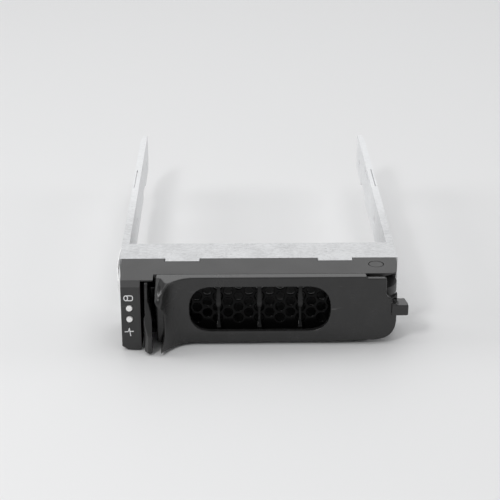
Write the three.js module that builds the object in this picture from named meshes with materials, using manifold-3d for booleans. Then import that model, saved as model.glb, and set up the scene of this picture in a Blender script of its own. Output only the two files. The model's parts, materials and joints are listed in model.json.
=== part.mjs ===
// A hot-swap carrier for a 3.5 inch hard drive: a sheet-metal tray frame, a moulded front bezel with indicator
// windows, and a swing-out handle that is held shut by a pinch latch.
import * as THREE from "three";
import { mergeVertices } from "three/addons/utils/BufferGeometryUtils.js";
import Module from "manifold-3d";

const wasm = await Module();
wasm.setup();

// Driving dimensions in millimetres. X runs across from the mid-plane, Y runs back from the frame's front edge,
// and Z is measured from the carrier's top plane, so heights inside it are negative.
const frameWidth = 108; // outside of both rails
const bayWidth = 102.2; // between the rails, for a 101.6 mm wide drive
const sheet = 1.2; // frame sheet thickness
const railLength = 151.5;
const railHeight = 17;
const flangeDepth = 15.2; // top flange that joins the rails
const wallFront = 0.3; // front wall of the frame, just behind the bezel
const wallHeight = 27.5;
const bezelHeight = 28.5;
const skin = 1.5; // bezel wall thickness
const plateFront = -14.8; // front edge of the bezel's top plate
const thinPlate = 0.5; // top plate above the handle's swing and above the latch
const hingeTop = -0.75; // top of the handle where it swings under the plate
const handleFront = -18.3; // front face of the closed handle
const handleBack = -15.1;
const handleBottom = -27;
const handleLeft = -39.6;
const handleRight = 52.2;
const gripFront = -28.5; // tip of the handle's flared grip
const columnLeft = -52.3; // indicator column at the bezel's left end
const columnRight = -45;
const columnFront = -22;
const pivot = { x: 45, y: -6.2 }; // vertical axis of the handle
const pinRadius = 2;
const pinHead = 2.8;
const pivotBoss = { radius: 8.2, low: -21.8, high: -6.8 }; // on the bezel, around the pin
const latchTop = -0.9;
const latchPivot = { x: -39.4, y: -9.4 }; // vertical axis of the latch
const runningGap = 0.1;
const gap = 0.3; // between neighbouring pieces
const lensX = -49.2;
const lensHeights = { status: -10.8, activity: -15.3 };
const channelHeights = { status: -7.8, activity: -10.8 };
const pipeX = -52.95; // both light pipes in the left rail's channel
const pipeRadius = 0.5;
const rivetAt = { y: 24.5, z: -3.6 }; // holds the grounding leaf in the same channel
const screwSpacing = 101.6; // between a drive's outer side screws
const firstScrewY = 32.6;
const screwLine = -9.35; // drive screw height: 6.35 mm from the drive's base
const bezelScrews = [
  [-33, -6.5],
  [-33, -22],
  [37.5, -6.5],
  [37.5, -22],
];

const material = (color, roughness, metalness) => new THREE.MeshStandardMaterial({ color, roughness, metalness });
const galvanised = material(0xc4c8ca, 0.45, 0.9);
const springSteel = material(0xdadcdd, 0.25, 1);
const screwSteel = material(0x8f9294, 0.35, 1);
const bezelPlastic = material(0x2f3130, 0.55, 0);
const handlePlastic = material(0x2b2d2c, 0.5, 0);
const screenPlastic = material(0x0d0e0e, 0.15, 0);
const clearPlastic = material(0xf2f2ee, 0.1, 0);

// Solids -------------------------------------------------------------------------------------------------------

function solid(geometry) {
  geometry.deleteAttribute("normal");
  geometry.deleteAttribute("uv");
  const merged = mergeVertices(geometry, 1e-4);
  return new wasm.Manifold(
    new wasm.Mesh({
      numProp: 3,
      vertProperties: merged.attributes.position.array,
      triVerts: new Uint32Array(merged.index.array),
    }),
  );
}

function named(name, body, look) {
  const { vertProperties, triVerts } = body.getMesh();
  const geometry = new THREE.BufferGeometry();
  geometry.setAttribute("position", new THREE.BufferAttribute(new Float32Array(vertProperties), 3));
  geometry.setIndex(new THREE.BufferAttribute(new Uint32Array(triVerts), 1));
  geometry.computeVertexNormals();
  const mesh = new THREE.Mesh(geometry, look);
  mesh.name = name;
  return mesh;
}

// A block between two corners.
function block([x0, y0, z0], [x1, y1, z1]) {
  const geometry = new THREE.BoxGeometry(x1 - x0, y1 - y0, z1 - z0);
  geometry.translate((x0 + x1) / 2, (y0 + y1) / 2, (z0 + z1) / 2);
  return solid(geometry);
}

// A closed outline through corners [u, v, radius]; a corner with a radius is rounded by a curve.
function outline(corners) {
  const shape = new THREE.Shape();
  const towards = ([u, v], [toU, toV], distance) => {
    const length = Math.hypot(toU - u, toV - v);
    return [u + ((toU - u) * distance) / length, v + ((toV - v) * distance) / length];
  };
  corners.forEach(([u, v, radius = 0], i) => {
    const start = towards([u, v], corners.at(i - 1), radius);
    const end = towards([u, v], corners[(i + 1) % corners.length], radius);
    if (i === 0) shape.moveTo(...start);
    else shape.lineTo(...start);
    if (radius > 0) shape.quadraticCurveTo(u, v, ...end);
  });
  shape.closePath();
  return shape;
}

function extruded(shape, depth, steps = 4) {
  return new THREE.ExtrudeGeometry(shape, { depth, bevelEnabled: false, curveSegments: steps });
}

// An outline in plan (X, Y), between two heights.
function plan(shape, z0, z1, steps) {
  return solid(extruded(shape, z1 - z0, steps).translate(0, 0, z0));
}

// An outline seen from the side (Y, Z), between two places along X.
function side(shape, x0, x1, steps) {
  const turn = new THREE.Matrix4().set(0, 0, 1, 0, 1, 0, 0, 0, 0, 1, 0, 0, 0, 0, 0, 1);
  return solid(extruded(shape, x1 - x0, steps).applyMatrix4(turn).translate(x0, 0, 0));
}

// An outline seen from the front (X, Z), between two depths along Y.
function front(shape, y0, y1, steps) {
  return solid(extruded(shape, y1 - y0, steps).rotateX(Math.PI / 2).translate(0, y1, 0));
}

// An upright round bar on a vertical axis.
function post(x, y, radius, z0, z1, sides = 20) {
  const geometry = new THREE.CylinderGeometry(radius, radius, z1 - z0, sides);
  return solid(geometry.rotateX(Math.PI / 2).translate(x, y, (z0 + z1) / 2));
}

// A round bar that lies along X, or along Y.
function barAlongX(y, z, radius, x0, x1, sides = 12) {
  const geometry = new THREE.CylinderGeometry(radius, radius, x1 - x0, sides);
  return solid(geometry.rotateZ(Math.PI / 2).translate((x0 + x1) / 2, y, z));
}

function barAlongY(x, z, radius, y0, y1, sides = 12) {
  const geometry = new THREE.CylinderGeometry(radius, radius, y1 - y0, sides);
  return solid(geometry.translate(x, (y0 + y1) / 2, z));
}

// A bar of round section that follows a path of points.
function tube(points, radius, sides, steps) {
  const section = new THREE.Shape();
  for (let i = 0; i < sides; i++) {
    const angle = (2 * Math.PI * i) / sides;
    const at = [radius * Math.cos(angle), radius * Math.sin(angle)];
    if (i === 0) section.moveTo(...at);
    else section.lineTo(...at);
  }
  const path = new THREE.CatmullRomCurve3(points.map((p) => new THREE.Vector3(...p)), false, "centripetal");
  return solid(new THREE.ExtrudeGeometry(section, { steps, extrudePath: path, bevelEnabled: false }));
}

const joined = (solids) => solids.reduce((all, one) => all.add(one));
const cut = (body, solids) => solids.reduce((rest, tool) => rest.subtract(tool), body);

// Tray frame ---------------------------------------------------------------------------------------------------

// One rail as a channel that opens outwards; sign is -1 on the left and 1 on the right.
function rail(sign) {
  const inner = bayWidth / 2;
  const outer = frameWidth / 2;
  const low = -railHeight;
  const profile = outline([
    [wallFront, 0],
    [railLength, 0, 2],
    [railLength, low, 6],
    [126, low],
    [124, -15],
    [110, -13.8],
    [108, low],
    [19, low, 3],
    [12.5, -wallHeight, 2],
    [wallFront, -wallHeight],
  ]);
  const pocket = outline([
    [wallFront + sheet, -sheet],
    [railLength - 2.4, -sheet, 1.5],
    [railLength - 2.4, low + sheet, 4],
    [127, low + sheet],
    [124.6, -13.6],
    [109.4, -12.4],
    [107, low + sheet],
    [wallFront + sheet, low + sheet],
  ]);
  const across = (from, to) => (sign > 0 ? [from, to] : [-to, -from]);
  const body = side(profile, ...across(inner, outer));
  const tools = [
    side(pocket, ...across(inner + sheet, outer + 1)),
    // lanced slit along the top flange, open to its outer edge at the front end
    block([across(outer - 1.2, outer - 0.8)[0], 79, -sheet - 1], [across(outer - 1.2, outer - 0.8)[1], 101, 1]),
    block([across(outer - 1.2, outer + 1)[0], 79, -sheet - 1], [across(outer - 1.2, outer + 1)[1], 79.6, 1]),
    // slot beside the upper edge of the inner face
    block([across(inner - 1, inner + 1.5)[0], 95, -3.4], [across(inner - 1, inner + 1.5)[1], 110, -2.2]),
    // below the channel the front corner is a single sheet
    block([across(inner + sheet, outer + 1)[0], 1.5, -30], [across(inner + sheet, outer + 1)[1], 22, low]),
  ];
  for (const y of [firstScrewY, 62, firstScrewY + screwSpacing]) {
    tools.push(barAlongX(y, screwLine, 1.8, ...across(inner - 1, inner + 2), 16));
  }
  if (sign < 0) tools.push(barAlongX(rivetAt.y, rivetAt.z, 1.1, ...across(inner - 1, inner + 2)));
  return cut(body, tools);
}

function trayFrame() {
  const half = frameWidth / 2;
  const wall = block([-half, wallFront, -wallHeight], [half, wallFront + sheet, 0]);
  const flange = block([-half, wallFront, -sheet], [half, flangeDepth, 0]);
  const parts = [wall, flange, rail(-1), rail(1)];
  for (const x of [-29.6, 29.6]) {
    parts.push(block([x - 6.6, -2.3, -sheet], [x + 6.6, wallFront + 0.5, 0]));
  }
  // rounds the outer corners of the rail tips and of the flange
  const rounded = plan(
    outline([
      [-half, -3],
      [half, -3],
      [half, 141, 3],
      [half - 1, railLength, 1.6],
      [-half + 1, railLength, 1.6],
      [-half, 141, 3],
    ]),
    -30,
    1,
    5,
  );
  const tools = [
    // air opening
    front(outline([[-30, -4.5, 3], [30, -4.5, 3], [30, -22.5, 3], [-30, -22.5, 3]]), -1, 3),
    // light pipes pass here
    block([-52.6, -1, -19], [-46, 3, -5.5]),
    block([-52.6, 1, -16], [-50.5, 11, -6]),
    // cam recess at the right, through the wall and the rail's front corner
    block([46.5, -1, -24], [52.3, 3, -6.5]),
    block([50, -1, -22.5], [52.4, 13.5, -7]),
  ];
  for (const [x, z] of bezelScrews) tools.push(barAlongY(x, z, 1.75, -1, 3));
  return named("tray_frame", cut(joined(parts).intersect(rounded), tools), galvanised);
}

// Bezel --------------------------------------------------------------------------------------------------------

function frontBezel() {
  const rearHalf = 53.2;
  // the left side leans in towards the front
  const leftAt = (y) => -rearHalf + ((columnLeft + rearHalf) * y) / columnFront;
  const plate = plan(
    outline([
      [-rearHalf, 0],
      [rearHalf, 0],
      [53.2, -6, 4],
      [51.9, plateFront, 2.5],
      [handleLeft - 0.6, plateFront],
      [handleLeft - 0.6, -20],
      [leftAt(-20), -20],
    ]),
    -skin,
    0,
  );
  const floorTop = -bezelHeight + 1.8;
  const lug = 5; // round end of the floor, about the handle's pin
  const floor = plan(
    outline([
      [-36.5, 0],
      [-36.5, plateFront],
      [41.5, plateFront, 2],
      [pivot.x + 1.5, pivot.y - lug + 0.3, 1],
      [pivot.x + lug, pivot.y - 1, 2],
      [pivot.x + lug, -2],
      [rearHalf, -2],
      [rearHalf, 0],
    ]),
    -bezelHeight,
    floorTop,
  );
  const latchFloor = block([columnRight - 0.5, -6, -bezelHeight], [-36, 0, floorTop]);
  const back = block([-51, -1.8, -bezelHeight], [rearHalf, 0, 0]);
  const column = side(
    outline([
      [0, 0],
      [-20, 0],
      [columnFront, -2],
      [columnFront, -28],
      [0, -bezelHeight],
    ]),
    -rearHalf - 1,
    columnRight,
  ).intersect(
    plan(
      outline([
        [-rearHalf, 0],
        [columnRight, 0],
        [columnRight, columnFront],
        [columnLeft, columnFront],
      ]),
      -bezelHeight - 1,
      1,
    ),
  );
  const columnCorner = front(
    outline([
      [columnLeft - 1, -26.5],
      [columnLeft, -26.5],
      [columnLeft + 2.2, -28],
      [columnLeft + 2.2, -30],
      [columnLeft - 1, -30],
    ]),
    -30,
    1,
  );
  const columnHollow = block([columnLeft + 1.6, columnFront + 1.8, -26.2], [columnRight - 1.2, 1, -2]);
  const parts = [plate, floor, latchFloor, back, column];
  // posts that hold the vent screen
  for (const x of [-36, 34.8]) parts.push(block([x, -13, -bezelHeight + 0.5], [x + 1.2, -1, -0.5]));
  // short return of the right end, behind the handle's hinge
  parts.push(block([51.9, -3.2, -6], [rearHalf, -0.5, -0.5]));
  // round boss between the handle's two hinge arms
  const boss = post(pivot.x, pivot.y, pivotBoss.radius, pivotBoss.low, pivotBoss.high, 36);
  const footSpace = block([50, -14, -16.5], [rearHalf + 1, -0.4, -10.4]);
  parts.push(boss.intersect(block([pivot.x - 6, -20, -30], [rearHalf, -0.5, 0])).subtract(footSpace));
  // screw bosses
  for (const [x, z] of bezelScrews) parts.push(barAlongY(x, z, 3, -8, -1, 14));
  const tools = [
    columnCorner,
    columnHollow,
    // way out for the light pipes, into the frame's left rail
    block([-51.9, -9.6, -17.5], [-49, -4, -8.6]),
    block([-52.6, -4.6, -18], [-49, 1, -8.6]),
    // air slot along the top of the back wall
    front(outline([[-31, -3, 2], [31, -3, 2], [31, -10.4, 2], [-31, -10.4, 2]]), -2.5, 1),
    // two notches in the right end, ahead of the frame's cam recess
    block([47.6, -3.6, -12.4], [50.3, 1, -8.6]),
    block([51, -3.6, -12.4], [rearHalf + 1, 1, -10.2]),
    // the top plate is thinner above the handle's swing
    post(pivot.x, pivot.y, 14.5, -skin - 0.2, -thinPlate, 32)
      .subtract(post(pivot.x, pivot.y, 8.4, -skin - 1, 0, 32))
      .intersect(block([30, plateFront - 1, -5], [60, -3.4, 0])),
    block([columnRight, -22, -skin - 0.1], [handleLeft - 0.3, -9.5, -thinPlate]),
    post(pivot.x, pivot.y, pinHead + 0.25, -skin - 1, 1, 28),
    post(pivot.x, pivot.y, pinRadius + gap, -bezelHeight - 1, -bezelHeight + 3),
    post(pivot.x, pivot.y, pinRadius + gap, pivotBoss.low - 1, pivotBoss.high + 1),
    barAlongY(lensX, lensHeights.status, 1.5, columnFront - 1, columnFront + 3, 16),
    barAlongY(lensX, lensHeights.activity, 1.5, columnFront - 1, columnFront + 3, 16),
  ];
  for (const [x, z] of bezelScrews) tools.push(barAlongY(x, z, 1.4, -7, 1));
  for (const x of [-29.6, 29.6]) tools.push(block([x - 6.9, -2.6, -skin - 1.2], [x + 6.9, 1, 1]));
  return named("front_bezel", cut(joined(parts), tools), bezelPlastic);
}

// Perforated screen behind the handle's window: staggered columns of round holes, with three ribs in front.
function ventScreen() {
  const pitch = 4.6;
  const columnPitch = 3.98;
  const panel = block([-34.5, -12.5, -26.4], [34.5, -11.3, -skin - gap]);
  const holes = [];
  for (let column = -7; column <= 7; column++) {
    const lift = column % 2 === 0 ? 0 : pitch / 2;
    for (let row = 0; row < 4; row++) {
      holes.push(barAlongY(column * columnPitch, -19.6 + lift + row * pitch, 1.7, -13, -11, 8));
    }
  }
  const ribProfile = outline([
    [-12, -2.2],
    [-13.6, -2.2],
    [-15.8, -11.6, 0.6],
    [-15.1, -14, 1],
    [-14.9, -19],
    [-15.8, -22.6, 1],
    [-15.8, -24],
    [-12, -24],
  ]);
  const ribs = [-15.6, 0, 15.6].map((x) => side(ribProfile, x - 1.2, x + 1.2));
  return named("vent_screen", joined([cut(panel, holes), ...ribs]), screenPlastic);
}

// Handle -------------------------------------------------------------------------------------------------------

// Arm that reaches back from the handle's face to the pivot pin.
function hingeArm(z0, z1) {
  const radius = 3.8;
  const arm = plan(
    outline([
      [40.8, -16.5],
      [47.6, -16.5],
      [47.9, -10],
      [pivot.x + radius * 0.8, pivot.y],
      [pivot.x - radius, pivot.y],
      [40.8, -10],
    ]),
    z0,
    z1,
  );
  return arm.add(post(pivot.x, pivot.y, radius, z0, z1));
}

function releaseHandle() {
  const face = front(
    outline([
      [handleLeft, 0],
      [40.5, 0],
      [40.5, hingeTop],
      [48, hingeTop, 0.8],
      [48.2, -8.8, 2],
      [50.4, -9, 1],
      [handleRight, -6.8, 0.6],
      [handleRight, handleBottom, 9],
      [handleLeft, handleBottom, 1.5],
    ]),
    gripFront - 1,
    0,
    6,
  );
  const shell = plan(
    (() => {
      const shape = new THREE.Shape();
      shape.moveTo(handleRight, handleFront);
      shape.lineTo(-24, handleFront);
      shape.splineThru(
        [
          [-28.8, -19],
          [-31.5, -20.9],
          [-34.4, -24.4],
          [-36.6, -26.8],
          [-38.6, gripFront],
        ].map(([x, y]) => new THREE.Vector2(x, y)),
      );
      shape.lineTo(handleLeft, -27.6);
      shape.lineTo(handleLeft, handleBack);
      shape.lineTo(-36, handleBack);
      shape.lineTo(-34, handleFront + 2.2);
      shape.lineTo(handleRight, handleFront + 2.2);
      shape.closePath();
      return shape;
    })(),
    handleBottom - 1,
    1,
    3,
  );
  const crown = side(
    (() => {
      const shape = new THREE.Shape();
      shape.moveTo(0, 0);
      shape.lineTo(handleFront, 0);
      shape.splineThru(
        [
          [-18.7, -2],
          [-20.6, -4],
          [-24.2, -6.4],
          [-27, -10],
          [gripFront, -15],
        ].map(([y, z]) => new THREE.Vector2(y, z)),
      );
      shape.lineTo(gripFront - 0.2, handleBottom);
      shape.lineTo(0, handleBottom);
      shape.closePath();
      return shape;
    })(),
    handleLeft - 1,
    handleRight + 1,
    3,
  );
  const topReturn = block([handleLeft, handleFront + 0.1, -2], [40.5, handleBack, 0]);
  const bottomReturn = block([-36, handleFront + 0.1, handleBottom], [40, handleBack, handleBottom + 1.6]);
  let body = face.intersect(shell.add(topReturn).add(bottomReturn)).intersect(crown);

  // scoop of the grip's left edge, beside the latch
  const scoop = new THREE.Shape();
  scoop.absellipse(-41.5, -19.5, 4.9, 10, 0, 2 * Math.PI);
  const window = outline([
    [-26.7, -4, 9],
    [27, -4, 9],
    [27, -22.5, 9],
    [-26.7, -22.5, 9],
  ]);
  body = cut(body, [front(scoop, -32, -10, 8), front(window, -22, -12, 6)]);

  const parts = [body, hingeArm(-4.6, -1.9), hingeArm(-25, -22.4)];
  // cam foot that bears on the chassis
  parts.push(
    front(
      outline([
        [50.2, -10.4],
        [53, -11.1],
        [56.5, -11.1, 0.6],
        [56.5, -15.5, 0.4],
        [50.2, -15.5],
      ]),
      -20,
      -13.3,
    ).intersect(plan(outline([[49, -13], [55.6, -13, 1], [56.6, -18, 1], [56.6, -20, 0.6], [49, -20]]), -17, -9)),
  );
  // ears for the latch pin
  for (const z of [-6.6, -20.6]) {
    parts.push(block([latchPivot.x - 0.6, handleBack - 1, z], [latchPivot.x + 3, latchPivot.y, z + 1.4]));
    parts.push(post(latchPivot.x, latchPivot.y, 1.9, z, z + 1.4, 14));
  }
  const tools = [
    post(pivot.x, pivot.y, pinRadius + runningGap, -26, -1),
    post(latchPivot.x, latchPivot.y, 0.8 + gap / 2, -21, -4, 12),
  ];
  return named("release_handle", cut(joined(parts), tools), handlePlastic);
}

function handlePivotPin() {
  const head = post(pivot.x, pivot.y, pinHead, -skin, 0, 28);
  const shank = post(pivot.x, pivot.y, pinRadius, -bezelHeight + 0.4, -skin + 0.1);
  return named("handle_pivot_pin", head.add(shank), bezelPlastic);
}

// Latch --------------------------------------------------------------------------------------------------------

function releaseLatch() {
  const blade = plan(
    outline([
      [-43.6, -8.6],
      [-43.4, -23],
      [-42.2, -23],
      [-42, -8.6],
    ]),
    -27.6,
    latchTop,
  );
  const pad = plan(
    outline([
      [-43.4, -13],
      [-43.9, -24.4, 1.2],
      [-42, -27, 0.7],
      [-40.5, -26.6, 0.6],
      [-40.9, -20, 2],
      [-42.4, -14],
    ]),
    -27.6,
    -10.5,
  );
  const profile = side(
    outline([
      [-7, -1.9],
      [-9.8, -1.9],
      [-9.8, latchTop],
      [-20.6, latchTop, 1.2],
      [-22, -8, 2],
      [-24.4, -14, 4],
      [-27.2, -22, 3],
      [-27.2, -27.6, 1],
      [-14, -27.6],
      [-11.6, -20],
      [-7, -19],
    ]),
    -46,
    -38,
  );
  const hub = post(latchPivot.x, latchPivot.y, 1.9, -18.9, -6.9, 14);
  const link = plan(
    outline([
      [-43, -11.2],
      [latchPivot.x, -11.2],
      [latchPivot.x, -7.6],
      [-43.2, -8.6],
    ]),
    -18.9,
    -6.9,
  );
  const body = blade.add(pad).intersect(profile).add(hub).add(link);
  return named("release_latch", body.subtract(post(latchPivot.x, latchPivot.y, 0.95, -20, -4, 12)), handlePlastic);
}

function latchPivotPin() {
  return named("latch_pivot_pin", post(latchPivot.x, latchPivot.y, 0.8, -20.9, -4.9, 12), screwSteel);
}

// Flat spring on the handle that pushes the latch outwards.
function latchSpring() {
  const strip = outline([
    [-36.3, -14.7],
    [-36.3, -14.3],
    [-40.1, -14.3, 0.4],
    [-41.3, -17],
    [-40.95, -17.2],
    [-39.9, -14.7, 0.3],
  ]);
  return named("latch_spring", plan(strip, -17, -9), springSteel);
}

// Indicators ---------------------------------------------------------------------------------------------------

function lightPipe(name, z, channelZ) {
  const lens = barAlongY(lensX, z, 1.2, columnFront - 0.15, columnFront + 3, 16);
  const run = tube(
    [
      [lensX, columnFront + 2.5, z],
      [lensX, -12, z],
      [lensX - 1.4, -4, z + 0.6],
      [-51.4, 1, z + 1.6],
      [pipeX, 8, channelZ],
      [pipeX, 14, channelZ],
      [pipeX, 80, channelZ],
      [pipeX, 144, channelZ],
    ],
    pipeRadius,
    8,
    44,
  );
  return named(name, lens.add(run), clearPlastic);
}

// Small plastic bridge that holds both pipes in the rail's channel.
function pipeClip(name, y) {
  const { status, activity } = channelHeights;
  const room = pipeRadius + 0.15;
  const bridge = block([-53.95, y - 2, activity - 2], [-52.6, y + 2, status + 2]);
  const slots = [status, activity].map((z) => block([pipeX - room, y - 3, z - room], [-52, y + 3, z + room]));
  return named(name, cut(bridge, slots), bezelPlastic);
}

// Metal springs and fasteners ----------------------------------------------------------------------------------

// Grounding leaf that bulges past the left side and is riveted inside the rail's channel.
function sideSpring() {
  const shape = new THREE.Shape();
  const outer = [
    [-53.1, -17],
    [-53.9, -10],
    [-54.4, -3],
    [-54.5, 4],
    [-54.3, 14],
  ];
  shape.moveTo(...outer[0]);
  shape.splineThru(outer.slice(1).map(([x, y]) => new THREE.Vector2(x, y)));
  shape.lineTo(-52.65, 20);
  shape.lineTo(-52.65, 28);
  shape.lineTo(-53, 28);
  shape.lineTo(-53, 20.2);
  shape.lineTo(-54.65, 14.2);
  const inner = outer.map(([x, y]) => [x - 0.35, y]).reverse();
  shape.splineThru(inner.slice(1).map(([x, y]) => new THREE.Vector2(x, y)));
  shape.closePath();
  const hole = barAlongX(rivetAt.y, rivetAt.z, 1.1, -54, -52);
  return named("side_ground_spring", plan(shape, -5.6, -1.6, 4).subtract(hole), springSteel);
}

function springRivet() {
  const head = barAlongX(rivetAt.y, rivetAt.z, 1.5, -53.8, -53.3);
  const shank = barAlongX(rivetAt.y, rivetAt.z, 0.8, -53.4, -51.2);
  return named("ground_spring_rivet", head.add(shank), screwSteel);
}

function bezelScrew(name, x, z) {
  const head = barAlongY(x, z, 2.6, 1.8, 3.3, 18);
  const shank = barAlongY(x, z, 1.25, -6.6, 2);
  const slot = joined([
    block([x - 1.5, 2.5, z - 0.3], [x + 1.5, 4, z + 0.3]),
    block([x - 0.3, 2.5, z - 1.5], [x + 0.3, 4, z + 1.5]),
  ]);
  return named(name, head.add(shank).subtract(slot), screwSteel);
}

// Assembly -----------------------------------------------------------------------------------------------------

const carrier = new THREE.Group();
carrier.add(trayFrame(), frontBezel(), ventScreen());
carrier.add(releaseHandle(), handlePivotPin());
carrier.add(releaseLatch(), latchPivotPin(), latchSpring());
for (const name of ["status", "activity"]) {
  carrier.add(lightPipe(`${name}_light_pipe`, lensHeights[name], channelHeights[name]));
}
[40, 72, 140].forEach((y, i) => carrier.add(pipeClip(`light_pipe_clip_${i + 1}`, y)));
carrier.add(sideSpring(), springRivet());
bezelScrews.forEach(([x, z], i) => carrier.add(bezelScrew(`bezel_screw_${i + 1}`, x, z)));

// The carrier stands on its lowest point, with its origin under the middle of its outer box.
const extent = new THREE.Box3().setFromObject(carrier);
const middle = extent.getCenter(new THREE.Vector3());
carrier.position.set(-middle.x, -middle.y, -extent.min.z);

export default carrier;
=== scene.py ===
# Empty hot-swap carrier for a 3.5 inch hard drive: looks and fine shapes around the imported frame.
import json
import math

import bpy
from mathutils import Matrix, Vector

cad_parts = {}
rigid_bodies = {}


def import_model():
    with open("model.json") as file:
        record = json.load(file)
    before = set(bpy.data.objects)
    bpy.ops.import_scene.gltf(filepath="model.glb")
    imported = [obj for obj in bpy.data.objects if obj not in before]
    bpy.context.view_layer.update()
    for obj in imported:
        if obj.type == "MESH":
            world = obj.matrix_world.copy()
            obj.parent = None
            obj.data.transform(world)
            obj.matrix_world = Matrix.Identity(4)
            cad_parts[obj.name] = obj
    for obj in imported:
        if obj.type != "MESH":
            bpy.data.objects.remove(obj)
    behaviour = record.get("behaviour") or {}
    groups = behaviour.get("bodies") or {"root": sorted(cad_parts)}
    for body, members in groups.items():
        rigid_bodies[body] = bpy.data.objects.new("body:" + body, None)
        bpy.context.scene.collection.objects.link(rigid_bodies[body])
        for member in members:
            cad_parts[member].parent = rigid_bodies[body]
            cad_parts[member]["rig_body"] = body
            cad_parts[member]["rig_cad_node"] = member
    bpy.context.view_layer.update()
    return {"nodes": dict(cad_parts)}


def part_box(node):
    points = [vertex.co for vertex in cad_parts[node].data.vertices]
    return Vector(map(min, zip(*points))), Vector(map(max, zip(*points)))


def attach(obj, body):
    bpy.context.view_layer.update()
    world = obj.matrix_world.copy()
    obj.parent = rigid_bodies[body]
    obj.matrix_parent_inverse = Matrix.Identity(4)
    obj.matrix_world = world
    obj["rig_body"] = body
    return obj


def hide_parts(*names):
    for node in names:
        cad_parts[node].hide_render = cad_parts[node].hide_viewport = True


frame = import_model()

mm = 0.001
trayLow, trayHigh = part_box("tray_frame")
bezelLow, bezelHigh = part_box("front_bezel")
midX = (trayLow.x + trayHigh.x) / 2  # between the rails
rearY = bezelHigh.y  # where the bezel meets the frame
topZ = trayHigh.z  # the carrier's top plane


def place(x, y, z):  # millimetres from the mid-plane, the bezel's rear edge and the top plane
    return Vector((midX + x * mm, rearY + y * mm, topZ + z * mm))


camera = {"spot": (-10.53, -498.35, 216.5), "down": 23.14, "right": 0.82, "lens": 100.8}
studio = {
    "world": 0.37, "top": 4.2, "topSize": 1.2, "back": 3.2, "backSize": 1.1, "key": 1.6, "keySize": 0.14,
    "left": 4.6, "right": 2.6, "sideSize": 0.6, "floor": 0.76,
}


def addCamera():
    bpy.ops.object.camera_add(location=place(*camera["spot"]))
    made = bpy.context.object
    made.rotation_euler = (math.radians(90 - camera["down"]), 0, math.radians(-camera["right"]))
    made.data.lens = camera["lens"]
    made.data.sensor_width = 36
    bpy.context.scene.camera = made


def addLight(name, location, target, size, power):
    bpy.ops.object.light_add(type="AREA", location=location)
    made = bpy.context.object
    made.name = name
    made.data.size = size
    made.data.energy = power
    made.rotation_euler = (Vector(target) - Vector(location)).to_track_quat("-Z", "Y").to_euler()


def addStudio():
    world = bpy.data.worlds.new("studioWorld")
    world.use_nodes = True
    world.node_tree.nodes["Background"].inputs["Color"].default_value = (0.97, 0.98, 1, 1)
    world.node_tree.nodes["Background"].inputs["Strength"].default_value = studio["world"]
    bpy.context.scene.world = world
    bpy.context.scene.view_settings.view_transform = "Standard"
    addLight("topLight", (0, 0.1, 1.0), (0, 0, 0), studio["topSize"], studio["top"])
    addLight("backLight", (0, 1.3, 0.65), (0, 0, 0), studio["backSize"], studio["back"])
    addLight("keyLight", (-0.3, -0.55, 0.55), (0, -0.05, 0.01), studio["keySize"], studio["key"])
    for side, power in ((-1, studio["left"]), (1, studio["right"])):
        addLight("sideLight", (side * 1.1, 0.1, 0.45), (0, 0, 0.02), studio["sideSize"], power)
    bpy.ops.mesh.primitive_plane_add(size=8, location=(0, 0, 0))
    floor = bpy.context.object
    floor.name = "floor"
    look = bpy.data.materials.new("paleFloor")
    look.use_nodes = True
    shader = look.node_tree.nodes["Principled BSDF"]
    shader.inputs["Base Color"].default_value = (studio["floor"],) * 3 + (1,)
    shader.inputs["Roughness"].default_value = 0.7
    floor.data.materials.append(look)


bpy.ops.object.select_all(action="DESELECT")
addCamera()
addStudio()
print("camera and studio ready")


class Wire:  # one output of a node, so that maths on it reads as an expression
    def __init__(self, look, socket):
        self.look = look
        self.socket = socket

    def maths(self, operation, first, second):
        return self.look.add("ShaderNodeMath", {"operation": operation}, {0: first, 1: second})

    def __add__(self, other):
        return self.maths("ADD", self, other)

    def __sub__(self, other):
        return self.maths("SUBTRACT", self, other)

    def __mul__(self, other):
        return self.maths("MULTIPLY", self, other)


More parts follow.
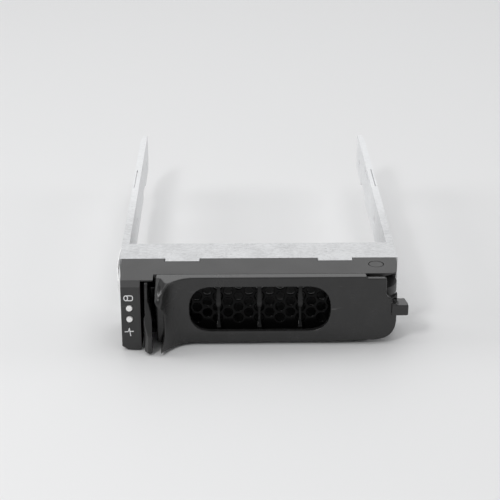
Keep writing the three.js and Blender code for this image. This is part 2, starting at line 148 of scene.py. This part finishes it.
class Look:  # a material under construction
    def __init__(self, name, **fixed):
        self.material = bpy.data.materials.new(name)
        self.material.use_nodes = True
        self.nodes = self.material.node_tree.nodes
        self.links = self.material.node_tree.links
        self.shader = self.nodes["Principled BSDF"]
        for key, value in fixed.items():
            self.shader.inputs[key].default_value = value

    def add(self, kind, settings=None, inputs=None, out=0):
        made = self.nodes.new(kind)
        for key, value in (settings or {}).items():
            setattr(made, key, value)
        for key, value in (inputs or {}).items():
            self.feed(made.inputs[key], value)
        return Wire(self, made.outputs[out])

    def feed(self, socket, value):
        if isinstance(value, Wire):
            self.links.new(value.socket, socket)
        else:
            socket.default_value = value

    def place(self, stretch=(1, 1, 1), turn=(0, 0, 0)):  # object coordinates in millimetres
        here = self.add("ShaderNodeTexCoord", out=3)
        scale = [1000 * s for s in stretch]
        return self.add("ShaderNodeMapping", {}, {"Vector": here, "Scale": scale, "Rotation": turn})

    def noise(self, size, detail=3, stretch=(1, 1, 1), rough=0.5, turn=(0, 0, 0)):
        spot = self.place(stretch, turn)
        inputs = {"Vector": spot, "Scale": 1 / size, "Detail": detail, "Roughness": rough}
        return self.add("ShaderNodeTexNoise", {}, inputs)

    def cells(self, size):  # distance from the nearest of a field of points
        inputs = {"Vector": self.place(), "Scale": 1 / size}
        return self.add("ShaderNodeTexVoronoi", {"feature": "F1"}, inputs)

    def along(self, axis):  # millimetres along x, y or z
        return self.add("ShaderNodeSeparateXYZ", {}, {"Vector": self.place()}, "xyz".index(axis))

    def between(self, value, low, high, start=0.0, end=1.0):
        return self.add(
            "ShaderNodeMapRange",
            {"clamp": True, "interpolation_type": "SMOOTHSTEP"},
            {"Value": value, "From Min": low, "From Max": high, "To Min": start, "To Max": end},
        )

    def blend(self, amount, first, second):
        return self.add("ShaderNodeMix", {"data_type": "RGBA"}, {0: amount, 6: first, 7: second}, 2)

    def bump(self, height, strength, distance):
        inputs = {"Height": height, "Strength": strength, "Distance": distance * mm}
        return self.add("ShaderNodeBump", {}, inputs)

    def finish(self, **links):
        for key, value in links.items():
            self.feed(self.shader.inputs[key.replace("_", " ")], value)
        return self.material


def grey(value, warm=0.0):
    return (value * (1 + warm), value, value * (1 - warm), 1)


zinc = {
    "bright": 0.7, "dull": 0.53, "fleck": 0.2, "rails": 0.92, "lift": 0.55, "warmth": -0.008,
    "railsFrom": -45, "railsTo": 20,  # where the sheet is painted brighter towards the rear: painted sheen on the rails, standing in for the light they catch
}


def zincSheet():
    look = Look("zincSheet", Metallic=0.5)
    mottle = look.noise(1.1, 7, (0.6, 1, 1), 0.66)
    cloud = look.noise(9, 3)
    flecks = look.between(look.noise(0.6, 4, (0.4, 1, 1), 0.7), 0.58, 0.66)
    patches = look.between(look.noise(8, 3), 0.46, 0.6)
    acrossLines = look.between(look.noise(0.4, 2, (0.03, 1, 1)), 0.68, 0.71)
    alongLines = look.between(look.noise(0.45, 2, (1, 0.03, 1), turn=(0, 0, 0.08)), 0.69, 0.72)
    scratches = look.between(acrossLines + alongLines, 0, 1)
    tone = look.between(mottle * 0.75 + cloud * 0.25, 0.36, 0.62)
    colour = look.blend(tone, grey(zinc["dull"], zinc["warmth"]), grey(zinc["bright"], zinc["warmth"]))
    colour = look.blend(flecks * patches * 0.6, colour, grey(zinc["fleck"], 0.03))
    # painted sheen: the sheet is painted brighter towards the rear, standing in for the light the rails
    # catch
    rails = look.between(look.along("y"), zinc["railsFrom"], zinc["railsTo"])
    colour = look.blend(rails * zinc["lift"], colour, grey(zinc["rails"], zinc["warmth"]))
    colour = look.blend(scratches * 0.3, colour, grey(0.84))
    roughness = look.between(mottle, 0.3, 0.7, 0.44, 0.6) - scratches * 0.1
    height = mottle * 0.5 - scratches * 0.25 - flecks * 0.4
    return look.finish(Base_Color=colour, Roughness=roughness, Normal=look.bump(height, 0.45, 0.1))


def brightSteel(name, base, stretch):
    look = Look(name, Metallic=1.0)
    grain = look.noise(0.25, 3, stretch)
    smudge = look.noise(4, 2)
    colour = look.blend(look.between(smudge, 0.35, 0.7), grey(base), grey(base * 0.86, 0.01))
    roughness = look.between(grain, 0.3, 0.7, 0.2, 0.36)
    return look.finish(Base_Color=colour, Roughness=roughness, Normal=look.bump(grain, 0.2, 0.02))


def mouldedPlastic(name, base, roughLow, roughHigh, grainSize, grainDepth, wear):
    look = Look(name)
    look.shader.inputs["Specular IOR Level"].default_value = 0.5
    grain = look.noise(grainSize, 2)
    cloud = look.noise(9, 3)
    dust = look.between(look.cells(1.9), 0.1, 0.04) * look.between(look.noise(6, 2), 0.5, 0.62)
    scuffs = look.between(look.noise(0.7, 2, (0.06, 1, 0.5), turn=(0.2, 0.1, 0.5)), 0.68, 0.73)
    marks = scuffs * look.between(look.noise(11, 2), 0.5, 0.65)
    colour = look.blend(look.between(cloud, 0.3, 0.7), grey(base, 0.01), grey(base * 1.25, 0.01))
    colour = look.blend(marks * wear, colour, grey(0.22))
    colour = look.blend(dust * wear * 0.6, colour, grey(0.3))
    roughness = look.between(grain * 0.5 + cloud * 0.5, 0.35, 0.65, roughLow, roughHigh)
    surface = look.bump(grain - marks * 0.5, grainDepth, 0.05)
    return look.finish(Base_Color=colour, Roughness=roughness, Normal=surface)


def glossBlack():
    look = Look("screenGloss", **{"Specular IOR Level": 0.09})
    haze = look.noise(3.5, 3)
    specks = look.between(look.cells(1.4), 0.09, 0.03)
    colour = look.blend(specks * 0.2, grey(0.003), grey(0.12))
    return look.finish(Base_Color=colour, Roughness=look.between(haze, 0.3, 0.7, 0.1, 0.2) + specks * 0.3)


def ribPaintedShadePlastic():  # painted shade: the lower half of each rib, which faces down away from the light, is painted darker
    look = Look("ribPaintedShadePlastic", **{"Specular IOR Level": 0.25})
    height = look.along("z")
    haze = look.noise(2, 3)
    # painted shade: darker below 14 to 17.5 mm up
    colour = look.blend(look.between(height, 14, 17.5), grey(0.004), grey(0.02, 0.01))
    return look.finish(Base_Color=colour, Roughness=look.between(haze, 0.3, 0.7, 0.16, 0.26))


def milkyLens():
    look = Look("milkyLens", **{"Coat Weight": 0.4})
    cloud = look.noise(0.8, 2)
    colour = look.blend(look.between(cloud, 0.3, 0.7), grey(0.95, 0.01), grey(0.86, 0.01))
    return look.finish(Base_Color=colour, Roughness=look.between(cloud, 0.3, 0.7, 0.22, 0.36))


def clearPipe():
    look = Look("clearPipe", **{"Transmission Weight": 0.75, "IOR": 1.49})
    cloud = look.noise(2.5, 2, (1, 0.2, 1))
    colour = look.blend(look.between(cloud, 0.3, 0.7), grey(0.95), grey(0.86, 0.01))
    return look.finish(Base_Color=colour, Roughness=look.between(cloud, 0.3, 0.7, 0.06, 0.16))


def whiteInk():
    look = Look("whiteInk")
    worn = look.noise(0.35, 3)
    colour = look.blend(look.between(worn, 0.4, 0.75), grey(0.86), grey(0.6))
    return look.finish(Base_Color=colour, Roughness=look.between(worn, 0.3, 0.7, 0.45, 0.65))


finishes = {
    "zinc": zincSheet(),
    "spring": brightSteel("springSteel", 0.9, (1, 0.05, 1)),
    # painted shade: the latch spring is painted near-black so the gap it shows through stays as dark as
    # shadow
    "paintedShadeSpring": brightSteel("paintedShadeSpringSteel", 0.02, (1, 1, 0.05)),
    "screw": brightSteel("screwSteel", 0.55, (1, 1, 1)),
    "bezel": mouldedPlastic("bezelPlastic", 0.026, 0.42, 0.5, 0.16, 0.25, 0.2),
    "handle": mouldedPlastic("handlePlastic", 0.017, 0.2, 0.28, 0.16, 0.15, 0.2),
    "latch": mouldedPlastic("latchPlastic", 0.02, 0.12, 0.2, 0.3, 0.06, 0.12),
    "screen": glossBlack(),
    "rib": ribPaintedShadePlastic(),
    "lens": milkyLens(),
    "pipe": clearPipe(),
    "ink": whiteInk(),
}
print("finishes ready")


def pick(piece):
    bpy.ops.object.select_all(action="DESELECT")
    piece.select_set(True)
    bpy.context.view_layer.objects.active = piece


def edit(piece):
    pick(piece)
    bpy.ops.object.mode_set(mode="EDIT")
    bpy.ops.mesh.select_mode(type="VERT")
    bpy.ops.mesh.select_all(action="SELECT")


def leave():
    bpy.ops.object.mode_set(mode="OBJECT")


def rounded(corners, steps=6):  # outline of (u, v, radius) corners; one with a radius gets a short curve
    points = []
    for i, corner in enumerate(corners):
        here = Vector(corner[:2])
        radius = corner[2] if len(corner) > 2 else 0
        if not radius:
            points.append(tuple(here))
            continue
        start = here + (Vector(corners[i - 1][:2]) - here).normalized() * radius
        end = here + (Vector(corners[(i + 1) % len(corners)][:2]) - here).normalized() * radius
        for k in range(steps + 1):
            t = k / steps
            points.append(tuple(start * (1 - t) ** 2 + here * 2 * t * (1 - t) + end * t * t))
    return points


def curved(stations, steps=6):  # smooth run through stations, ends included
    points = []
    for i in range(len(stations) - 1):
        a = Vector(stations[max(i - 1, 0)])
        b, c = Vector(stations[i]), Vector(stations[i + 1])
        d = Vector(stations[min(i + 2, len(stations) - 1)])
        square, cube = 2 * a - 5 * b + 4 * c - d, 3 * b - a - 3 * c + d
        for k in range(steps):
            t = k / steps
            points.append(tuple(0.5 * (2 * b + (c - a) * t + square * t**2 + cube * t**3)))
    return points + [tuple(stations[-1])]


def prism(points, plane, low, high):  # an outline in plan, from the side or from the front, given a depth
    spots = {
        "plan": lambda u, v, w: place(u, v, w),
        "side": lambda u, v, w: place(w, u, v),
        "front": lambda u, v, w: place(u, w, v),
    }[plane]
    bpy.ops.object.select_all(action="DESELECT")
    bpy.ops.mesh.primitive_circle_add(vertices=len(points), radius=1, fill_type="NGON")
    piece = bpy.context.object
    for corner, (u, v) in zip(piece.data.vertices, points):
        corner.co = spots(u, v, low)
    edit(piece)
    bpy.ops.mesh.extrude_region_move(TRANSFORM_OT_translate={"value": spots(0, 0, high) - spots(0, 0, low)})
    bpy.ops.mesh.select_all(action="SELECT")
    bpy.ops.mesh.normals_make_consistent(inside=False)
    leave()
    return piece


def block(low, high):
    corners = [(low[0], low[1]), (high[0], low[1]), (high[0], high[1]), (low[0], high[1])]
    return prism(corners, "plan", low[2], high[2])


def bar(centre, radius, length, along="y", sides=32):  # round bar from its middle
    turn = {"x": (0, math.pi / 2, 0), "y": (math.pi / 2, 0, 0), "z": (0, 0, 0)}[along]
    bpy.ops.object.select_all(action="DESELECT")
    bpy.ops.mesh.primitive_cylinder_add(
        vertices=sides, radius=radius * mm, depth=length * mm, location=place(*centre), rotation=turn
    )
    bpy.ops.object.transform_apply(location=True, rotation=True, scale=True)
    return bpy.context.object


def use(piece, kind, **settings):  # adds a modifier and applies it
    pick(piece)
    step = piece.modifiers.new("step", kind)
    for key, value in settings.items():
        setattr(step, key, value)
    bpy.ops.object.modifier_apply(modifier=step.name)


def combine(piece, tools, operation):
    for tool in tools:
        use(piece, "BOOLEAN", object=tool, operation=operation, solver="MANIFOLD")
        bpy.data.objects.remove(tool)
    return piece


def smoothed(piece, angle):
    pick(piece)
    bpy.ops.object.shade_smooth_by_angle(angle=math.radians(angle))


def moulded(piece, voxel, rounds):  # melts the pieces into one skin with soft edges
    use(piece, "REMESH", mode="VOXEL", voxel_size=voxel * mm)
    use(piece, "SMOOTH", factor=0.5, iterations=rounds)
    smoothed(piece, 60)


edges = {"merge": 0.004, "flat": 0.6, "smooth": 40, "sharp": 28}  # millimetres, then degrees


def softened(piece, width, segments=3):  # breaks the edges
    edit(piece)
    bpy.ops.mesh.remove_doubles(threshold=edges["merge"] * mm)
    bpy.ops.mesh.dissolve_limited(angle_limit=math.radians(edges["flat"]))
    leave()
    smoothed(piece, edges["smooth"])
    use(
        piece, "BEVEL", width=width * mm, segments=segments, limit_method="ANGLE",
        angle_limit=math.radians(edges["sharp"]), harden_normals=True,
    )


def copied(node):  # a loose copy of a frame node
    pick(frame["nodes"][node])
    bpy.ops.object.duplicate()
    piece = bpy.context.object
    piece.parent = None
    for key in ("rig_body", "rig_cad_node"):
        if key in piece:
            del piece[key]
    return piece


def dressed(piece, name, finish, body, node=None):
    piece.name = name
    piece.data.materials.clear()
    piece.data.materials.append(finishes[finish])
    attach(piece, body)
    if node:
        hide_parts(node)


tray = {"edge": 0.22}


def trayFrame():
    piece = copied("tray_frame")
    softened(piece, tray["edge"], 2)
    dressed(piece, "trayFrame", "zinc", "carrier", "tray_frame")


trayFrame()
print("tray frame done")


bezel = {"edge": 0.28, "pinEdge": 0.25}


def frontBezel():
    piece = copied("front_bezel")
    softened(piece, bezel["edge"], 3)
    dressed(piece, "frontBezel", "bezel", "carrier", "front_bezel")


def pivotPin():
    piece = copied("handle_pivot_pin")
    softened(piece, bezel["pinEdge"], 3)
    dressed(piece, "handlePivotPin", "bezel", "carrier", "handle_pivot_pin")


frontBezel()
pivotPin()
print("bezel done")


screen = {
    "halfWidth": 34.5, "bottom": -26.4, "top": -1.8, "front": -12.5, "back": -11.3,
    "hole": 1.7, "pitch": 4.6, "columnPitch": 3.98, "columns": 7, "rows": 4, "lowest": -19.6,
    "voxel": 0.24, "rounds": 3, "ribs": (-15.6, 0, 15.6), "ribVoxel": 0.12, "ribRounds": 4,
}


def screenRib(x):  # its upper half leans out and its lower half falls back to a rounded toe
    front = rounded([
        (-13.4, -2.2), (-15.9, -12.6, 1.2), (-14.6, -15.4, 2), (-14.2, -19.4, 1.5), (-15.8, -21.4, 1),
        (-15.4, -24),
    ], 6)
    rib = prism([(-12.7, -2.2)] + front + [(-12.7, -24)], "side", x - 1, x + 1)
    sides = [
        (x + 0.5, -2), (x + 0.95, -12), (x + 0.55, -15), (x + 0.45, -19),
        (x + 0.85, -21.5), (x + 0.85, -24.2),
    ]
    sides += [(2 * x - u, v) for u, v in reversed(sides)]
    return combine(rib, [prism(sides, "front", -17, -11.5)], "INTERSECT")


def ventScreen():
    half, middle = screen["halfWidth"], (screen["front"] + screen["back"]) / 2
    panel = block((-half, screen["front"], screen["bottom"]), (half, screen["back"], screen["top"]))
    cutter = None
    for column in range(-screen["columns"], screen["columns"] + 1):
        lift = 0 if column % 2 == 0 else screen["pitch"] / 2
        for row in range(screen["rows"]):
            z = screen["lowest"] + lift + row * screen["pitch"]
            hole = bar((column * screen["columnPitch"], middle, z), screen["hole"], 3, "y", 24)
            if cutter:
                cutter.select_set(True)
                bpy.context.view_layer.objects.active = cutter
                bpy.ops.object.join()
            else:
                cutter = hole
    combine(panel, [cutter], "DIFFERENCE")
    moulded(panel, screen["voxel"], screen["rounds"])
    dressed(panel, "ventScreen", "screen", "carrier", "vent_screen")
    for index, x in enumerate(screen["ribs"], 1):
        rib = screenRib(x)
        moulded(rib, screen["ribVoxel"], screen["ribRounds"])
        dressed(rib, f"ventRib{index}", "rib", "carrier")


ventScreen()
print("vent screen done")


handle = {
    "left": -39.3, "right": 52.2, "bottom": -27, "front": -18.3, "back": -14.95, "wall": 2.4,
    "flareFrom": -24, "flareLength": 13, "flareDepth": 9.3, "flareCurve": 2.4, "deepest": -28.1,
    "crest": -36.4, "corner": 4, "fallOff": 2.6, "rampTop": -0.1, "rampHeight": 10, "rampCurve": 1.8,
    "hingeFrom": 40.5, "hingeTo": 48, "hingeTop": -0.7,  # lowered where it swings under the top plate
    "step": 0.4, "voxel": 0.3, "rounds": 6,
}
window = {"left": -26.7, "right": 27, "top": -4, "bottom": -22.5, "radius": 9}
pivot = {"x": 45, "y": -6.2, "bore": 2.1, "boss": 3.8}
latchPivot = {"x": -39.4, "y": -9.4, "bore": 0.95, "boss": 1.9, "ear": 1.4}


def eased(t):
    t = min(max(t, 0), 1)
    return t * t * (3 - 2 * t)


# depth of the handle's front face, which flares forward into the grip and has a ramp at its left end
def frontAt(x, z):
    h = handle
    flare = h["flareDepth"] * (max(h["flareFrom"] - x, 0) / h["flareLength"]) ** h["flareCurve"]
    centre = Vector((h["crest"] + h["corner"], -h["corner"]))
    across, up = min(x - centre.x, 0), max(z - centre.y, 0)
    outside = max(math.hypot(across, up) - h["corner"], 0)
    ramp = (1 - min(max((h["rampTop"] - z) / h["rampHeight"], 0), 1)) ** h["rampCurve"]
    flare *= 1 - eased(outside / h["fallOff"]) * ramp
    return max(h["front"] - flare, h["deepest"])


def hingeArm(low, high):  # reaches back from the face to the pin
    reach = pivot["boss"]
    arm = prism(
        rounded([
            (40.8, -16.5), (47.6, -16.5), (47.9, -10), (pivot["x"] + reach * 0.8, pivot["y"]),
            (pivot["x"] - reach, pivot["y"]), (40.8, -10),
        ]),
        "plan", low, high,
    )
    return combine(arm, [bar((pivot["x"], pivot["y"], (low + high) / 2), reach, high - low, "z")], "UNION")


def flaredShell():  # a sheet of the front face, pulled into shape, with a flat back
    h = handle
    wide, tall = h["right"] - h["left"] + 2, -h["bottom"] + 2
    bpy.ops.object.select_all(action="DESELECT")
    bpy.ops.mesh.primitive_grid_add(
        x_subdivisions=round(wide / h["step"]), y_subdivisions=round(tall / h["step"]), size=1
    )
    sheet = bpy.context.object
    for corner in sheet.data.vertices:
        x = h["left"] - 1 + (corner.co.x + 0.5) * wide
        z = 1 - (0.5 - corner.co.y) * tall
        corner.co = place(x, frontAt(x, z), z)
    edit(sheet)
    bpy.ops.mesh.extrude_region_move(TRANSFORM_OT_translate={"value": Vector((0, 20 * mm, 0))})
    bpy.ops.transform.resize(value=(1, 0, 1), center_override=place(0, h["front"] + h["wall"], 0))
    bpy.ops.mesh.select_all(action="SELECT")
    bpy.ops.mesh.normals_make_consistent(inside=False)
    leave()
    return sheet


def handleFace():
    h = handle
    gripEdge = curved([
        (-36, -17), (-36, -13), (-36.4, -10.6), (-37.8, -8.2), (-39.1, -6.2), (h["left"], -3),
    ], 8)
    tipEdge = curved([(-37.5, -27), (-37.1, -25), (-36.1, -21.5), (-36, -17)], 8)
    outline = gripEdge + rounded([
        (h["left"], 0, 0.5), (h["hingeFrom"], 0, 0.3), (h["hingeFrom"], h["hingeTop"], 0.2),
        (h["hingeTo"], h["hingeTop"], 0.7), (48.2, -8.8, 2), (50.4, -9, 1),
        (h["right"], -6.8, 0.6), (h["right"], -26.3, 8.5), (30, -26.8),
        (0, h["bottom"]), (-37.5, h["bottom"]),
    ], 10) + tipEdge[1:-1]
    face = prism(outline, "front", h["deepest"] - 2, 0)
    shell = flaredShell()
    inset = 0.15
    topEdge = [(x, frontAt(x, 0) + inset) for x in (h["left"] + inset + 0.6 * i for i in range(27))]
    backEdge = h["back"] + 0.08
    topEdge += [
        (h["hingeFrom"], h["front"] + inset), (h["hingeFrom"], backEdge), (h["left"] + inset, backEdge),
    ]
    topReturn = prism(topEdge, "plan", -1.6, 0)
    bottomReturn = block((-36, h["front"] + 0.1, h["bottom"]), (40, h["back"], h["bottom"] + 1.6))
    combine(shell, [topReturn, bottomReturn], "UNION")
    combine(shell, [face], "INTERSECT")
    dish = block((h["left"], h["front"], -26.9), (-35, h["front"] + h["wall"], -3))
    combine(shell, [dish], "UNION")
    w = window
    opening = rounded([
        (w["left"], w["top"], w["radius"]), (w["right"], w["top"], w["radius"]),
        (w["right"], w["bottom"], w["radius"]), (w["left"], w["bottom"], w["radius"]),
    ], 16)
    footNotch = block((50.5, -21, -10.9), (52.1, -17.4, -8.9))
    return combine(shell, [prism(opening, "front", -22, -12), footNotch], "DIFFERENCE")


def camFoot():  # stands out at the right end and bears on the chassis
    outline = rounded([(50.2, -10.4), (53, -11.1), (56.5, -11.1, 0.6), (56.5, -15.5, 0.4), (50.2, -15.5)])
    foot = prism(outline, "front", -20, -13.3)
    trim = rounded([(49, -13), (55.6, -13, 1), (56.6, -18, 1), (56.6, -20, 0.6), (49, -20)])
    return combine(foot, [prism(trim, "plan", -17, -9)], "INTERSECT")


def latchEar(z):
    x, y, tall = latchPivot["x"], latchPivot["y"], latchPivot["ear"]
    ear = block((x - 0.6, handle["back"] - 1, z), (x + 3, y, z + tall))
    return combine(ear, [bar((x, y, z + tall / 2), latchPivot["boss"], tall, "z")], "UNION")


def releaseHandle():
    piece = handleFace()
    parts = [hingeArm(-4.6, -1.9), hingeArm(-25, -22.4), camFoot(), latchEar(-6.6), latchEar(-20.6)]
    combine(piece, parts, "UNION")
    bores = [bar((pivot["x"], pivot["y"], -14), pivot["bore"], 26, "z")]
    bores += [bar((latchPivot["x"], latchPivot["y"], -12.5), latchPivot["bore"], 17, "z")]
    combine(piece, bores, "DIFFERENCE")
    moulded(piece, handle["voxel"], handle["rounds"])
    dressed(piece, "releaseHandle", "handle", "handle", "release_handle")


releaseHandle()
print("handle done")


latch = {"top": -0.9, "bottom": -27.6, "voxel": 0.24, "rounds": 7}


def releaseLatch():
    top, bottom = latch["top"], latch["bottom"]
    blade = prism([(-43.6, -8.6), (-43.4, -23), (-42.2, -23), (-42, -8.6)], "plan", bottom, top)
    pad = prism(
        rounded([
            (-43.4, -13), (-43.9, -24.4, 1.2), (-42, -27, 0.7), (-40.5, -26.6, 0.6), (-40.9, -20, 2),
            (-42.4, -14),
        ]),
        "plan", bottom, -8.5,
    )
    swell = prism(
        rounded([
            (-44.2, -28), (-44.2, -15.4, 2), (-43.1, -13, 1.5), (-43.1, -8), (-42, -8), (-41.2, -11, 2),
            (-40.3, -17, 4), (-40.2, -28),
        ], 8),
        "front", -30, -10,
    )
    combine(pad, [swell], "INTERSECT")
    profile = prism(
        rounded([
            (-7, -1.9), (-9.8, -1.9), (-9.8, top), (-20.6, top, 1.2), (-22, -8, 2), (-24.4, -14, 4),
            (-27.2, -22, 3), (-27.2, bottom, 1), (-14, bottom), (-11.6, -20), (-7, -19),
        ], 8),
        "side", -46, -38,
    )
    piece = combine(blade, [pad], "UNION")
    combine(piece, [profile], "INTERSECT")
    x, y = latchPivot["x"], latchPivot["y"]
    link = prism([(-43, -11.2), (x, -11.2), (x, -7.6), (-43.2, -8.6)], "plan", -18.9, -6.9)
    hub = bar((x, y, -12.9), latchPivot["boss"], 12, "z")
    combine(piece, [link, hub], "UNION")
    combine(piece, [bar((x, y, -12), latchPivot["bore"], 16, "z")], "DIFFERENCE")
    moulded(piece, latch["voxel"], latch["rounds"])
    dressed(piece, "releaseLatch", "latch", "latch", "release_latch")


releaseLatch()
print("latch done")


marks = {
    "x": -49.5, "face": -22, "height": 0.08, "stroke": 0.36, "disk": -6.5, "pulse": -20.5,
    "lensX": -49.2, "lensRadius": 1.25, "statusLens": -10.8, "activityLens": -15.3,
}


def stroke(points, width):  # a flat line through points, as thin raised ink on the indicator panel
    left, right = [], []
    for i, point in enumerate(points):
        here = Vector(point)
        before = Vector(points[i - 1]) if i else here
        after = Vector(points[i + 1]) if i + 1 < len(points) else here
        run = (after - before).normalized()
        side = Vector((-run.y, run.x)) * width / 2
        left.append(tuple(here + side))
        right.append(tuple(here - side))
    return prism(left + right[::-1], "front", marks["face"] - marks["height"], marks["face"] + 0.15)


def diskMark():  # a drum lying on its side
    x, z = marks["x"], marks["disk"]
    drum = rounded([(x - 0.8, z - 1), (x + 1.7, z - 1, 0.7), (x + 1.7, z + 1, 0.7), (x - 0.8, z + 1)], 5)
    end = [(x - 0.85 + 0.7 * math.cos(a), z + math.sin(a)) for a in (i * math.pi / 12 for i in range(25))]
    piece = stroke(drum, marks["stroke"])
    combine(piece, [stroke(end, marks["stroke"])], "UNION")
    dressed(piece, "diskMark", "ink", "carrier")


def pulseMark():  # a heartbeat line
    x, z = marks["x"], marks["pulse"]
    rise = [(x - 1.7, z), (x - 0.35, z + 0.05), (x + 0.15, z + 1.6)]
    fall = [(x + 0.1, z + 1.6), (x + 0.55, z - 1.8)]
    rest = [(x + 0.3, z - 0.1), (x + 0.75, z + 0.2), (x + 1.75, z + 0.15)]
    piece = stroke(rise, marks["stroke"])
    combine(piece, [stroke(fall, marks["stroke"]), stroke(rest, marks["stroke"])], "UNION")
    dressed(piece, "pulseMark", "ink", "carrier")


def lens(name, z):
    piece = bar((marks["lensX"], marks["face"] + 0.5, z), marks["lensRadius"], 1.4, "y", 40)
    softened(piece, 0.3, 4)
    dressed(piece, name, "lens", "carrier")


def lightPipe(name, node):
    piece = copied(node)
    edit(piece)
    bpy.ops.mesh.remove_doubles(threshold=edges["merge"] * mm)
    leave()
    smoothed(piece, 60)
    dressed(piece, name, "pipe", "carrier", node)


diskMark()
pulseMark()
lens("statusLens", marks["statusLens"])
lens("activityLens", marks["activityLens"])
lightPipe("statusLightPipe", "status_light_pipe")
lightPipe("activityLightPipe", "activity_light_pipe")
print("indicators done")


smallEdges = {"clip": 0.12, "screw": 0.16}
for index in (1, 2, 3):
    clip = copied(f"light_pipe_clip_{index}")
    softened(clip, smallEdges["clip"], 2)
    dressed(clip, f"lightPipeClip{index}", "bezel", "carrier", f"light_pipe_clip_{index}")

hardware = [  # piece, node, finish, body, slot and edge width
    ("latchPivotPin", "latch_pivot_pin", "screw", "handle", "screw_steel", 0.12),
    ("latchSpring", "latch_spring", "paintedShadeSpring", "handle", "spring_steel", 0.06),
    ("sideGroundSpring", "side_ground_spring", "spring", "carrier", "spring_steel", 0.08),
    ("groundSpringRivet", "ground_spring_rivet", "screw", "carrier", "screw_steel", 0.12),
]
for name, node, finish, body, slot, edge in hardware:
    small = copied(node)
    softened(small, edge, 2)
    dressed(small, name, finish, body, node)

for index in (1, 2, 3, 4):
    screw = copied(f"bezel_screw_{index}")
    softened(screw, smallEdges["screw"], 2)
    dressed(screw, f"bezelScrew{index}", "screw", "carrier", f"bezel_screw_{index}")
print("hardware done")
